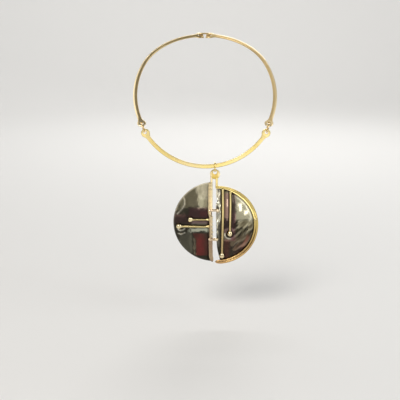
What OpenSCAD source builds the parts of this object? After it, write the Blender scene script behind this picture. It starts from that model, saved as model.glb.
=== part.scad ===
/* [Flat bars] */
// Width of the three flat bars
bar_w = 3.8; // [3.2:0.1:4.4]
// Thickness of the flat bars
bar_t = 1.8; // [1.4:0.1:2]
// Diameter of the eye at each bar's end
eye_d = 8; // [7.4:0.1:8.6]
// Thickness of the eyes, which are hammered thinner than the bars
eye_t = 1.5; // [1.3:0.1:1.6]
// Diameter of the hole in each eye
eye_hole_d = 3; // [2.8:0.1:3.2]

/* [Front bar] */
// Centreline radius of the front bar
front_r = 64; // [62:0.5:66]
// Angle from the front bar's middle to the hole at each end
front_half_a = 59.5; // [58.5:0.5:60.5]
// How far the front bar hangs to one side
front_shift = 0.4; // [0:0.1:0.5]

/* [Side bars] */
// Half width of the collar at its widest, on the bars' centreline
side_half_w = 65.8; // [65.4:0.2:66.4]
// Centreline radius of a side bar beside the neck
side_r = 113; // [110:1:116]
// Centreline radius of a side bar behind the neck
nape_r = 63; // [62:0.5:64]
// Angle along a side bar from its widest point to its front hole
side_hole_a = 22; // [21:0.5:23]
// Slope of the side bars, rising to the nape
side_tilt = 38; // [36:0.5:40]

/* [Rings] */
// Wire of the link rings and the pendant's ring
link_wire_d = 1.25; // [1.1:0.05:1.3]
// Mean diameter of a link ring
link_d = 8; // [7.8:0.1:8.2]
// Mean diameter of the pendant's ring
hang_d = 8.2; // [8:0.1:8.4]
// Where the pendant's ring sits, measured from the collar's middle
hang_x = 9; // [0:0.5:12]

/* [Clasp] */
// Wire of the hook at the nape
hook_wire_d = 1.6; // [1.4:0.1:1.7]
// Half distance between the rear holes
nape_hole_x = 5.4; // [5.4:0.1:6]

/* [Pendant] */
// Radius of the left half disc
left_r = 38.8; // [38:0.1:39.2]
// Outer radius of the rim round the right half disc
right_r = 38.2; // [38:0.1:38.6]
// Width of the rim
rim_w = 4.3; // [4:0.1:4.6]
// Rise of the domed half discs
dome_h = 2.4; // [2.2:0.1:2.6]
// Thickness of the half discs
plate_t = 1; // [0.8:0.1:1.2]
// Thickness of the strip along the slit
strip_t = 1.3; // [1.2:0.1:1.5]
// Diameter of the beads on the wires' ends
bead_d = 5; // [4.6:0.1:5.2]
// Diameter of the hole in the pendant's eye
hang_hole_d = 3.6; // [3.4:0.1:3.8]

/* [Hidden] */

BRASS = [0.80, 0.62, 0.30];
WORN_BRASS = [0.72, 0.52, 0.24];
DARK_METAL = [0.13, 0.12, 0.12];
// Sides of a round bore or disc, of a long bend, of a ring and of a wire
ROUND = 64;
LONG_ARC = 360;
RING_SIDES = 48;
WIRE_SIDES = 24;
// Longer than anything it cuts
THROUGH = 40;

// Rounding of a flat bar's edges
edge_r = 0.5;
// Room between the pendant's ring and what it hangs on
seat_gap = 0.2;
// Room between a half disc and the brass in front of it
plate_gap = 0.08;
// How much further out a wire lies than a flat strip
wire_lift = 0.05;
// The nape's stretch of a side bar is this much slimmer, and laps the other by this angle
nape_slim = 0.04;
lap_a = 1;

// The side bars lie in one plane that rises to the nape. In it, +Y runs to the nape at [0, 0].
side_off = side_r - side_half_w;
join_a = acos(side_off / (side_r - nape_r));
side_centre_y = -nape_r - side_off * tan(join_a);
// An eye's disc sits this far back from its hole
eye_back = 0.7;
nape_a = asin(nape_hole_x / nape_r);

// The hole that takes the link ring, in the plane of the side bars and then upright
side_hole_x = side_r * cos(side_hole_a) - side_off;
side_hole_q = side_centre_y - side_r * sin(side_hole_a);
side_hole_y = side_hole_q * cos(side_tilt);
side_hole_z = side_hole_q * sin(side_tilt);

// The link rings: each holds the side bar's hole high at its back, and the front bar's hole below
link_side_a = 55;
link_play = 0.3;
link_reach = link_d / 2 + link_play;
link_rise = link_reach * (1 + sin(link_side_a));
front_hole_x = front_r * sin(front_half_a);
mean_lean = asin((side_hole_x - front_hole_x) / link_rise);
fold_y = side_hole_y - link_reach * cos(link_side_a);
fold_z = side_hole_z - link_reach * sin(link_side_a) * cos(mean_lean);
front_centre_z = fold_z - link_reach * cos(mean_lean) + front_r * cos(front_half_a);

// The pendant's ring goes round the front bar, and the pendant's eye hangs in its lower half
hang_off = hang_x - front_shift;
hang_bar_z = front_centre_z - sqrt(front_r * front_r - hang_off * hang_off);
hang_in_r = (hang_d - link_wire_d) / 2;
hang_z = hang_bar_z + bar_w / 2 + seat_gap - sqrt(hang_in_r * hang_in_r - bar_t * bar_t / 4);
pend_z = hang_z - hang_d / 2 - (hang_hole_d - link_wire_d) / 2 + seat_gap;

// The pendant is drawn with its hole at the origin, its front towards -Y
eye_c_z = -1.5;
pend_eye_d = 9.2;
pend_eye_t = 1.6;

// The legs below the pendant's eye: left side, right side and bottom
LEG_X0 = 0;
LEG_X1 = 1;
LEG_Z = 2;
LEGS = [
    [-4.2, -2.2, -10.3],
    [ 0.5,  2.8, -14.6],
];
leg_top = -3;
leg_t = 1.4;

// The middles of the two half discs, their outer edges' distance to the front, and their domes
left_c = [0, -48];
right_c = [2.8, -51];
plate_edge_n = -0.9;
rim_overhang = 0.6;
right_plate_r = right_r - rim_overhang;
dome_r = (left_r * left_r + dome_h * dome_h) / (2 * dome_h);
left_dome_n = plate_edge_n - sqrt(dome_r * dome_r - left_r * left_r);
right_dome_n = plate_edge_n - sqrt(dome_r * dome_r - right_plate_r * right_plate_r);

// The rim is a flat band with a half-round ridge near its inner edge
rim_in_r = right_r - rim_w;
rim_back_n = right_dome_n + sqrt(dome_r * dome_r - rim_in_r * rim_in_r) + plate_gap;
rim_t = 1.5;
rim_half_a = 93.6;
ridge_r = 0.8;
ridge_at = 1.2;

// The strip along the slit, from its top to its bottom: height, left side and right side
STRIP_Z = 0;
STRIP_X0 = 1;
STRIP_X1 = 2;
STRIP = [
    [ -9.6, -6.2, -2.0],
    [-36.0, -6.4, -2.0],
    [-38.2, -5.2, -2.7],
    [-40.6, -5.0, -2.7],
    [-42.6, -5.3, -2.0],
    [-63.0, -5.2, -2.0],
    [-66.0, -5.7, -1.8],
    [-81.0, -5.4, -1.4],
    [-86.8, -2.6, -0.8],
];

// Wires across the left half disc: height, where they start and end, diameter
WIRE_AT = 0;
WIRE_FROM = 1;
WIRE_TO = 2;
WIRE_D = 3;
ACROSS = [
    [-44.7, -5.0, -22.9, 1.7],
    [-51.5, -4.6, -33.7, 2.0],
];
// Wires down the right half disc: place, where they start and end, diameter
DOWN = [
    [ 7.3, -14.2, -80.8, 2.2],
    [14.4, -17.8, -58.7, 2.0],
];

// A bead is a ball cut flat at the back. Its middle lies this share of its radius in front of the cut
bead_sink = 0.45;
bead_seam_a = 40;

// Short wires from the strip over the slit: start, end, height, distance to the front, diameter
BRIDGE_X0 = 0;
BRIDGE_X1 = 1;
BRIDGE_Z = 2;
BRIDGE_N = 3;
BRIDGE_D = 4;
BRIDGES = [
    [-3.9, 3.0, -36.2, 1.85, 1.3],
    [-4.0, 2.3, -64.3, 2.10, 1.7],
];
bridge_end = 1.1;

// Hollows beaten into the half discs: place, half width, half height, turn, depth
DENT_X = 0;
DENT_Z = 1;
DENT_W = 2;
DENT_H = 3;
DENT_A = 4;
DENT_DEEP = 5;
LEFT_DENTS = [
    [-31.0, -30.0,  3.0,  9.0,  14, 0.7],
    [-32.5, -58.5,  4.5,  3.0,   0, 0.5],
    [-16.0, -22.0,  5.0,  9.0, -18, 0.5],
    [-18.0, -66.0, 11.0,  6.0,  20, 0.5],
    [-11.0, -36.0,  8.0,  5.0,   0, 0.4],
    [-24.0, -42.0,  5.0,  4.0,   0, 0.3],
];
RIGHT_DENTS = [
    [20.9, -39.0,  1.8, 16.0,   0, 0.5],
    [14.4, -64.0,  5.5,  2.5,   0, 0.5],
    [ 3.6, -28.0,  2.0,  4.0,   0, 0.3],
    [30.0, -62.0,  5.0, 10.0, -20, 0.5],
    [10.0, -73.0,  6.0,  7.0,   0, 0.4],
    [28.0, -34.0,  4.0,  7.0,  25, 0.4],
];
// Rows and columns of points on a half disc, and how far round its edge they go
ROWS = 34;
COLS = 16;
edge_a = 87;

// A flat bar's section: a rectangle with rounded corners
module bar_section(w, t) {
    square([w, t - 2 * edge_r], center = true);
    square([w - 2 * edge_r, t], center = true);
    for (x = [-1, 1], y = [-1, 1])
        translate([x * (w / 2 - edge_r), y * (t / 2 - edge_r)])
            circle(r = edge_r, $fn = WIRE_SIDES);
}

// A stretch of flat bar round a centre, from angle a0 to a1
module bar_arc(centre, r, a0, a1, slim = 0) {
    translate([centre.x, centre.y, 0])
        rotate([0, 0, a0])
            rotate_extrude(angle = a1 - a0, $fn = LONG_ARC)
                translate([r, 0])
                    bar_section(bar_w - slim, bar_t - slim);
}

// A point on a circle in the bar's plane
function on_arc(centre, r, a) = [centre.x + r * cos(a), centre.y + r * sin(a)];

module eye_disc(at) {
    translate([at.x, at.y, 0])
        cylinder(d = eye_d, h = eye_t, center = true, $fn = ROUND);
}

module eye_bore(at) {
    translate([at.x, at.y, 0])
        cylinder(d = eye_hole_d, h = THROUGH, center = true, $fn = ROUND);
}

// One side bar, drawn in the plane of the side bars
module side_bar_flat() {
    front_c = [-side_off, side_centre_y];
    nape_c = [0, -nape_r];
    back_a = eye_back / side_r * 180 / PI;
    nape_hole = on_arc(nape_c, nape_r, 90 - nape_a);
    difference() {
        union() {
            bar_arc(front_c, side_r, back_a - side_hole_a, join_a);
            bar_arc(nape_c, nape_r, join_a - lap_a, 90 - nape_a, nape_slim);
            eye_disc(on_arc(front_c, side_r, back_a - side_hole_a));
            eye_disc(nape_hole);
        }
        eye_bore([side_hole_x, side_hole_q]);
        eye_bore(nape_hole);
    }
}

module right_bar() {
    color(WORN_BRASS)
        rotate([side_tilt, 0, 0])
            side_bar_flat();
}

module left_bar() {
    color(WORN_BRASS)
        rotate([side_tilt, 0, 0])
            mirror([1, 0, 0])
                side_bar_flat();
}

// The front bar hangs upright under the link rings
module front_bar() {
    back_a = eye_back / front_r * 180 / PI;
    ends = [-90 - front_half_a, -90 + front_half_a];
    color(BRASS)
        translate([front_shift, fold_y, front_centre_z])
            rotate([90, 0, 0])
                difference() {
                    union() {
                        bar_arc([0, 0], front_r, ends[0] + back_a, ends[1] - back_a);
                        eye_disc(on_arc([0, 0], front_r, ends[0] + back_a));
                        eye_disc(on_arc([0, 0], front_r, ends[1] - back_a));
                    }
                    eye_bore(on_arc([0, 0], front_r, ends[0]));
                    eye_bore(on_arc([0, 0], front_r, ends[1]));
                }
}

// A round ring whose axis runs along X
module ring(mean_d, wire_d) {
    rotate([0, 90, 0])
        rotate_extrude($fn = RING_SIDES)
            translate([mean_d / 2, 0])
                circle(d = wire_d, $fn = WIRE_SIDES);
}

// A link ring leans from the front bar's hole out to the side bar's hole
module link(side) {
    front_x = side * front_hole_x + front_shift;
    lean = asin((side * side_hole_x - front_x) / link_rise);
    color(BRASS)
        translate([front_x + link_reach * sin(lean), fold_y, fold_z])
            rotate([0, lean, 0])
                ring(link_d, link_wire_d);
}

module left_link() {
    link(-1);
}

module right_link() {
    link(1);
}

// A straight stretch of the hook's wire along X
module hook_wire(x0, x1, y) {
    translate([x0, y, 0])
        rotate([0, 90, 0])
            cylinder(d = hook_wire_d, h = x1 - x0, $fn = WIRE_SIDES);
}

// A plain open hook of round wire that joins the two rear eyes
module clasp_hook() {
    end_r = 2.4;
    mouth = 1.6;
    straight = nape_hole_x - link_play - end_r;
    color(WORN_BRASS)
        rotate([side_tilt, 0, 0])
            translate([0, nape_r * (cos(nape_a) - 1), 0])
                rotate([90, 0, 0]) {
                    for (turn = [0, 180])
                        rotate([0, turn, 0])
                            translate([straight, 0, 0])
                                rotate([0, 0, -90])
                                    rotate_extrude(angle = 180, $fn = ROUND)
                                        translate([end_r, 0])
                                            circle(d = hook_wire_d, $fn = WIRE_SIDES);
                    hook_wire(-straight, straight, end_r);
                    hook_wire(-straight, -mouth / 2, -end_r);
                    hook_wire(mouth / 2, straight, -end_r);
                }
}

module pendant_ring() {
    color(BRASS)
        translate([hang_x, fold_y, hang_z])
            ring(hang_d, link_wire_d);
}

// Moves from the pendant's own hole to where it hangs
module hung() {
    translate([hang_x, fold_y, pend_z])
        children();
}

// A bend over a dome, across it, at one height: x0 and x1 are its two ends
module bend_across(c, dome_n, r, x0, x1) {
    a0 = asin((x0 - c.x) / r);
    a1 = asin((x1 - c.x) / r);
    translate([c.x, -dome_n, 0])
        rotate([0, 0, a0 - 90])
            rotate_extrude(angle = a1 - a0, $fn = LONG_ARC)
                translate([r, 0])
                    children();
}

// A bend over a dome, down it: z1 is its top and z0 its bottom
module bend_down(c, dome_n, r, z1, z0) {
    a1 = -asin((z1 - c.y) / r);
    a0 = -asin((z0 - c.y) / r);
    translate([0, -dome_n, c.y])
        rotate([0, 90, 0])
            rotate([0, 0, a1 - 90])
                rotate_extrude(angle = a0 - a1, $fn = LONG_ARC)
                    translate([r, 0])
                        children();
}

// A bead with a flat back that lies on a dome
module bead(c, dome_n, at) {
    e = asin((at.y - c.y) / dome_r);
    a = asin((at.x - c.x) / (dome_r * cos(e)));
    translate([c.x, -dome_n, c.y])
        rotate([0, 0, a])
            rotate([90 - e, 0, 0])
                translate([0, 0, dome_r + plate_gap + wire_lift / 2])
                    rotate([0, 0, bead_seam_a])
                        rotate_extrude($fn = ROUND)
                            intersection() {
                                translate([0, bead_sink * bead_d / 2])
                                    circle(d = bead_d, $fn = ROUND);
                                square([bead_d, bead_d]);
                            }
}

// The radius of the circle that a wire's middle follows over a dome, off its centre by d
function wire_r(d, wire) = sqrt(dome_r * dome_r - d * d) + plate_gap + wire_lift + wire / 2;

module pendant_eye() {
    translate([0, 0, eye_c_z])
        rotate([90, 0, 0])
            cylinder(d = pend_eye_d, h = pend_eye_t, center = true, $fn = ROUND);
    for (leg = LEGS)
        translate([leg[LEG_X0], -leg_t / 2, leg[LEG_Z]])
            cube([leg[LEG_X1] - leg[LEG_X0], leg_t, leg_top - leg[LEG_Z]]);
}

// The strip follows the dome from its top to its bottom
module strip() {
    back_r = dome_r + plate_gap;
    left_side = [for (s = STRIP) [s[STRIP_X0], s[STRIP_Z]]];
    right_side = [for (i = [len(STRIP) - 1 : -1 : 0]) [STRIP[i][STRIP_X1], STRIP[i][STRIP_Z]]];
    intersection() {
        rotate([90, 0, 0])
            linear_extrude(THROUGH, center = true)
                polygon(concat(left_side, right_side));
        translate([0, -left_dome_n, left_c.y])
            rotate([0, 90, 0])
                difference() {
                    cylinder(r = back_r + strip_t, h = THROUGH, center = true, $fn = LONG_ARC);
                    cylinder(r = back_r, h = 2 * THROUGH, center = true, $fn = LONG_ARC);
                }
    }
}

module rim() {
    translate([right_c.x, 0, right_c.y])
        rotate([90, 0, 0])
            rotate([0, 0, -rim_half_a])
                rotate_extrude(angle = 2 * rim_half_a, $fn = LONG_ARC) {
                    translate([rim_in_r, rim_back_n])
                        square([rim_w, rim_t]);
                    translate([rim_in_r + ridge_at, rim_back_n + rim_t])
                        circle(r = ridge_r, $fn = WIRE_SIDES);
                }
}

module wires() {
    for (w = ACROSS) {
        r = wire_r(w[WIRE_AT] - left_c.y, w[WIRE_D]);
        translate([0, 0, w[WIRE_AT]])
            bend_across(left_c, left_dome_n, r, w[WIRE_TO], w[WIRE_FROM])
                circle(d = w[WIRE_D], $fn = WIRE_SIDES);
        bead(left_c, left_dome_n, [w[WIRE_TO], w[WIRE_AT]]);
    }
    for (w = DOWN) {
        r = wire_r(w[WIRE_AT] - right_c.x, w[WIRE_D]);
        bend_down(right_c, right_dome_n, r, w[WIRE_FROM], w[WIRE_TO])
            translate([0, w[WIRE_AT]])
                circle(d = w[WIRE_D], $fn = WIRE_SIDES);
        bead(right_c, right_dome_n, [w[WIRE_AT], w[WIRE_TO]]);
    }
}

module bridges() {
    for (b = BRIDGES) {
        translate([b[BRIDGE_X0], -b[BRIDGE_N], b[BRIDGE_Z]])
            rotate([0, 90, 0])
                cylinder(d = b[BRIDGE_D], h = b[BRIDGE_X1] - b[BRIDGE_X0], $fn = WIRE_SIDES);
        translate([b[BRIDGE_X1], -b[BRIDGE_N], b[BRIDGE_Z]])
            sphere(d = bridge_end * b[BRIDGE_D], $fn = WIRE_SIDES);
    }
}

// All the pendant's brass is soldered into one piece
module pendant_frame() {
    color(BRASS)
        hung()
            difference() {
                union() {
                    pendant_eye();
                    strip();
                    rim();
                    wires();
                    bridges();
                }
                rotate([90, 0, 0])
                    cylinder(d = hang_hole_d, h = THROUGH, center = true, $fn = ROUND);
            }
}

// How deep the hollows are at one point of a half disc
function dent_one(p, d) =
    let (dx = p.x - d[DENT_X],
         dz = p.y - d[DENT_Z],
         u = (dx * cos(d[DENT_A]) + dz * sin(d[DENT_A])) / d[DENT_W],
         v = (dz * cos(d[DENT_A]) - dx * sin(d[DENT_A])) / d[DENT_H])
    d[DENT_DEEP] * exp(-u * u - v * v);

function dent(p, dents, i = 0) = i == len(dents) ? 0 : dent_one(p, dents[i]) + dent(p, dents, i + 1);

// The inner edge of each half disc, by height: a little wavy, and the right one runs out at the bottom
function left_inner_x(z) = -2.6 - 0.2 * sin(z * 9);
function right_inner_x(z) = 1.3 + 2.8 * pow(max(0, (-55 - z) / 26), 2) + 0.25 * sin(z * 11);

// The front of a half disc: a dome with hollows
function front_n(p, c, dome_n, dents) =
    dome_n + sqrt(dome_r * dome_r - pow(p.x - c.x, 2) - pow(p.y - c.y, 2)) - dent(p, dents);

// The two faces of a half disc, as rows of points from its top to its bottom
function plate_grid(c, r, side, dents, dome_n, back) =
    [for (i = [0 : ROWS], j = [0 : COLS])
        let (a = edge_a - i * 2 * edge_a / ROWS,
             z = c.y + r * sin(a),
             x_in = side < 0 ? left_inner_x(z) : right_inner_x(z),
             x_out = c.x + side * r * cos(a),
             x = x_in + (x_out - x_in) * j / COLS)
        [x, back - front_n([x, z], c, dome_n, dents), z]];

// A closed shell between two grids of points with the same rows
module shell(front, back, flip) {
    n = (ROWS + 1) * (COLS + 1);
    w = COLS + 1;
    quads = concat(
        [for (i = [0 : ROWS - 1], j = [0 : COLS - 1])
            [i * w + j, i * w + j + 1, (i + 1) * w + j + 1, (i + 1) * w + j]],
        [for (i = [0 : ROWS - 1], j = [0 : COLS - 1])
            [n + i * w + j, n + (i + 1) * w + j, n + (i + 1) * w + j + 1, n + i * w + j + 1]],
        [for (i = [0 : ROWS - 1])
            [i * w, (i + 1) * w, n + (i + 1) * w, n + i * w]],
        [for (i = [0 : ROWS - 1])
            [i * w + COLS, n + i * w + COLS, n + (i + 1) * w + COLS, (i + 1) * w + COLS]],
        [for (j = [0 : COLS - 1])
            [j, n + j, n + j + 1, j + 1]],
        [for (j = [0 : COLS - 1])
            [ROWS * w + j, ROWS * w + j + 1, n + ROWS * w + j + 1, n + ROWS * w + j]]);
    tris = [for (q = quads, t = [[q[0], q[1], q[2]], [q[0], q[2], q[3]]])
        flip ? [t[0], t[2], t[1]] : t];
    polyhedron(points = concat(front, back), faces = tris, convexity = 6);
}

module left_plate() {
    color(DARK_METAL)
        hung()
            shell(plate_grid(left_c, left_r, -1, LEFT_DENTS, left_dome_n, 0),
                  plate_grid(left_c, left_r, -1, LEFT_DENTS, left_dome_n, plate_t), true);
}

module right_plate() {
    color(DARK_METAL)
        hung()
            shell(plate_grid(right_c, right_plate_r, 1, RIGHT_DENTS, right_dome_n, 0),
                  plate_grid(right_c, right_plate_r, 1, RIGHT_DENTS, right_dome_n, plate_t), false);
}

front_bar();
left_bar();
right_bar();
left_link();
right_link();
clasp_hook();
pendant_ring();
pendant_frame();
left_plate();
right_plate();
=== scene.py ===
import math

import bpy
import numpy as np
from mathutils import Matrix, Vector


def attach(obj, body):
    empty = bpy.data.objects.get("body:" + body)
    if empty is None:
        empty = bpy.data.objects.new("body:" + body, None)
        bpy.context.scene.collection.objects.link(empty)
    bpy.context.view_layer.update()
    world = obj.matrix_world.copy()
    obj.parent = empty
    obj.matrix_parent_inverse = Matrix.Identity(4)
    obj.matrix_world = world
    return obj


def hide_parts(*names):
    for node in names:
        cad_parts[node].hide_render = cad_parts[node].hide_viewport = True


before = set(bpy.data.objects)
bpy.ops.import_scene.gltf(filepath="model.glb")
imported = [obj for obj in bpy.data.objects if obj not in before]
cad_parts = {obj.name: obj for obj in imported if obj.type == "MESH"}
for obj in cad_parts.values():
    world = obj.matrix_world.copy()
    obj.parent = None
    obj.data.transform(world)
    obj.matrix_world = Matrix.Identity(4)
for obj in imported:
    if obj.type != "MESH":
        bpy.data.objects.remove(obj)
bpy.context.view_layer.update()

# The necklace's sizes are in millimetres until they enter a mesh. Materials and the stage are in metres
MM = 0.001
LEFT, RIGHT = -1, 1

# Flat bars. The neck lies between two distances from the eye's middle, and joins it to the bar
BAR_HALF_W = 1.9
BAR_HALF_T = 0.9
EYE_R = 4.0
EYE_HALF_T = 0.75
EYE_HOLE_R = 1.5
EYE_BACK = 0.7
NECK_FROM = 2.4
NECK_TO = 6.4

# Front bar
FRONT_R = 64.0
FRONT_HALF_A = math.radians(59.5)
FRONT_SHIFT = 0.4
FRONT_CENTRE_Z = -49.9584
FOLD_Y = -98.468
FOLD_Z = -78.3531

# Side bars, drawn in a plane that slopes up to the nape
SIDE_R = 113.0
SIDE_OFF = 47.2
NAPE_R = 63.0
JOIN_A = math.acos(SIDE_OFF / (SIDE_R - NAPE_R))
SIDE_CENTRE = np.array([-SIDE_OFF, -NAPE_R - SIDE_OFF * math.tan(JOIN_A)])
SIDE_HOLE_A = math.radians(22)
SIDE_TILT = math.radians(38)
NAPE_HOLE_X = 5.4
NAPE_A = math.asin(NAPE_HOLE_X / NAPE_R)

# Rings and hook
RING_WIRE_R = 0.625
LINK_R = 4.0
LINK_PLAY = 0.3
LINK_REACH = LINK_R + LINK_PLAY
LINK_SLOPE = math.radians(55)
LINK_RISE = LINK_REACH * (1 + math.sin(LINK_SLOPE))
HANG_R = 4.1
HANG_X = 9.0
HANG_Z = -114.634
HOOK_WIRE_R = 0.8
HOOK_END_R = 2.4
HOOK_MOUTH = 1.6

# Pendant: x to the right, n to the front and z up, from the hole it hangs by
PEND_Z = -119.709
LEFT_C = (0.0, -48.0)
LEFT_R = 38.8
LEFT_DISC = (LEFT_C, LEFT_R)
RIGHT_C = (2.8, -51.0)
RIGHT_R = 37.6
RIGHT_DISC = (RIGHT_C, RIGHT_R)
PLATE_T = 1.0
PLATE_EDGE_N = -0.9
DOME_H = 2.4
DOME_R = (LEFT_R ** 2 + DOME_H ** 2) / (2 * DOME_H)
GAP = 0.08
PEND_EYE_R = 4.6
PEND_EYE_HALF_T = 0.8
PEND_EYE_DROP = 1.5
PEND_HOLE_R = 1.8
PEND_HOLE_HALF_T = 0.78
LEG_TOP = -3.2
LEG_HALF_T = 0.7
RIM_IN_R = 33.9
RIM_W = 4.3
RIM_HALF_A = math.radians(93.6)
RIM_MEAN_R = 36
RIM_LENGTH = RIM_HALF_A * RIM_MEAN_R * 2

# How close points are merged, and how far a hole's cutter reaches and flares
WELD_GAP = 0.004
CUT_DEEP = 3.0
CUT_FLARE = 0.25

# Towards the front, and what turns a cutter's Z to run from front to back
TO_FRONT = np.array([0, -1.0, 0])
FRONT_TO_BACK = Matrix.Rotation(math.pi / 2, 3, "X")


# Tools for shaping


def take(obj):
    """Makes one object the only one selected, and the active one."""
    bpy.ops.object.select_all(action="DESELECT")
    obj.select_set(True)
    bpy.context.view_layer.objects.active = obj


def new_piece(name):
    obj = bpy.context.object
    obj.name = name
    obj.data.name = name
    return obj


def coords(obj):
    co = np.empty(len(obj.data.vertices) * 3)
    obj.data.vertices.foreach_get("co", co)
    return co.reshape(-1, 3)


def set_coords(obj, co):
    obj.data.vertices.foreach_set("co", np.asarray(co, float).ravel())
    obj.data.update()


def open_mesh(obj):
    """Opens one object in edit mode, with its whole mesh selected."""
    take(obj)
    bpy.ops.object.mode_set(mode="EDIT")
    bpy.ops.mesh.select_all(action="SELECT")


def close_mesh():
    bpy.ops.object.mode_set(mode="OBJECT")


def weld(obj):
    """Merges the points that meet, and turns all faces outwards."""
    open_mesh(obj)
    bpy.ops.mesh.remove_doubles(threshold=WELD_GAP * MM)
    bpy.ops.mesh.normals_make_consistent(inside=False)
    close_mesh()


def smooth(obj, angle=38):
    take(obj)
    bpy.ops.object.shade_smooth_by_angle(angle=math.radians(angle))


def grid(name, columns, rows, place):
    """A grid whose points are put in place by their share along it and across it."""
    bpy.ops.object.select_all(action="DESELECT")
    bpy.ops.mesh.primitive_grid_add(x_subdivisions=columns, y_subdivisions=rows, size=1)
    obj = new_piece(name)
    share = coords(obj)[:, :2] + 0.5
    set_coords(obj, np.stack(place(share[:, 0], share[:, 1]), 1) * MM)
    return obj


def squarer(c, power):
    """A sine or cosine for a rounded rectangle instead of a circle, where power is below 1."""
    return np.sign(c) * np.abs(c) ** power


def tube(name, columns, sides, path, size, front=TO_FRONT, square=2.0):
    """A grid rolled up round a path and closed at both ends. size(u) gives half its width and thickness."""

    def at(u):
        return np.stack(path(u), 1)

    def place(u, v):
        step = 1e-4
        along = unit(at(np.minimum(u + step, 1)) - at(np.maximum(u - step, 0)))
        side = unit(np.cross(along, front))
        out = np.cross(side, along)
        half_w, half_t = size(u)
        a = 2 * np.pi * v
        w = half_w * squarer(np.cos(a), 2 / square)
        t = half_t * squarer(np.sin(a), 2 / square)
        return (at(u) + side * w[:, None] + out * t[:, None]).T

    obj = grid(name, columns, sides, place)
    weld(obj)
    smooth(obj)
    return obj


def unit(v):
    return v / np.linalg.norm(v, axis=-1, keepdims=True)


def ease(x, lo, hi):
    """From 0 at lo to 1 at hi, without a corner."""
    t = np.clip((x - lo) / (hi - lo), 0, 1)
    return t * t * (3 - 2 * t)


def ball_width(r, d):
    """Half width of a ball by the distance from its middle."""
    return np.sqrt(np.clip(r ** 2 - d ** 2, 0, None))


def rounded_end(d, r):
    """From 0 at the end to 1 at r, like the end of a ball."""
    return np.sqrt(np.clip(1 - (1 - np.clip(d / r, 0, 1)) ** 2, 0, 1))


def ripple(a, b, scale, seed=0):
    """A calm, uneven wave over a surface, between about -1 and 1."""
    total = np.zeros(np.broadcast(a, b).shape)
    for i in range(5):
        turn = 2.4 * i + 1.7 * seed
        f = 2 * np.pi / scale * (1 + 0.37 * i)
        total += np.sin(f * (np.cos(turn) * a + np.sin(turn) * b) + 5.1 * i + 3.3 * seed) / (1 + 0.5 * i)
    return total / 2.2


def away(x, z, point):
    """Distance to a point."""
    return np.hypot(x - point[0], z - point[1])


def near_line(x, z, points):
    """Distance to a bent line."""
    best = np.full(np.shape(x), 1e9)
    for (x0, z0), (x1, z1) in zip(points, points[1:]):
        dx, dz = x1 - x0, z1 - z0
        t = np.clip(((x - x0) * dx + (z - z0) * dz) / (dx * dx + dz * dz), 0, 1)
        best = np.minimum(best, np.hypot(x - x0 - t * dx, z - z0 - t * dz))
    return best


def bell(d, width):
    """1 in the middle, falling softly to 0."""
    return np.exp(-(d / width) ** 2)


def most(*layers):
    """The largest of several layers at each point."""
    return np.maximum.reduce(layers)


def block(x, z, x0, x1, z0, z1, soft):
    """1 inside a rectangle with soft edges."""
    wide = ease(x, x0 - soft, x0 + soft) - ease(x, x1 - soft, x1 + soft)
    high = ease(z, z0 - soft, z0 + soft) - ease(z, z1 - soft, z1 + soft)
    return np.clip(wide, 0, 1) * np.clip(high, 0, 1)


def paint(obj, **layers):
    """Keeps numbers from 0 to 1 for each point of a piece, for its material to read."""
    for name, values in layers.items():
        layer = obj.data.attributes.new(name, "FLOAT", "POINT")
        layer.data.foreach_set("value", np.clip(values, 0, 1).astype(np.float32))


def move(obj, matrix):
    obj.data.transform(matrix)
    obj.data.update()


def apply_modifier(obj, kind, **values):
    take(obj)
    modifier = obj.modifiers.new(kind.lower(), kind)
    for key, value in values.items():
        setattr(modifier, key, value)
    bpy.ops.object.modifier_apply(modifier=modifier.name)


def hole_cutter(r, half_t):
    """A spool that cuts a hole and rounds off its two edges."""
    bpy.ops.object.select_all(action="DESELECT")
    bpy.ops.mesh.primitive_circle_add(vertices=48, radius=(r + CUT_DEEP) * MM, fill_type="NGON",
                                      location=(0, 0, -(half_t - CUT_FLARE + CUT_DEEP) * MM))
    obj = new_piece("hole_cutter")
    take(obj)
    bpy.ops.object.transform_apply(location=True, rotation=True, scale=True)
    open_mesh(obj)
    straight = 2 * (half_t - CUT_FLARE)
    for rise, grow in ((CUT_DEEP, r / (r + CUT_DEEP)), (straight, 1.0), (CUT_DEEP, (r + CUT_DEEP) / r)):
        bpy.ops.mesh.extrude_region_move(TRANSFORM_OT_translate={"value": (0, 0, rise * MM)})
        bpy.ops.transform.resize(value=(grow, grow, 1))
    bpy.ops.mesh.select_all(action="SELECT")
    bpy.ops.mesh.normals_make_consistent(inside=False)
    close_mesh()
    return obj


def bore(obj, at, turn, r, half_t):
    """Cuts a hole at a point. turn is the matrix that points the cutter's Z along the hole."""
    cutter = hole_cutter(r, half_t)
    move(cutter, Matrix.Translation(Vector(at) * MM) @ turn.to_4x4())
    apply_modifier(obj, "BOOLEAN", operation="DIFFERENCE", solver="EXACT", object=cutter)
    bpy.data.objects.remove(cutter)


# Name, body and slot of each piece, as it is finished
MADE = []


def finished(obj, material, body, slot, *nodes):
    """Gives a piece its material and body, hides the CAD nodes that it stands for, and keeps its name, body
    and slot in MADE.
    """
    obj.data.materials.clear()
    obj.data.materials.append(material)
    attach(obj, body)
    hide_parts(*nodes)
    MADE.append((obj.name, body, slot))


# Materials


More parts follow.
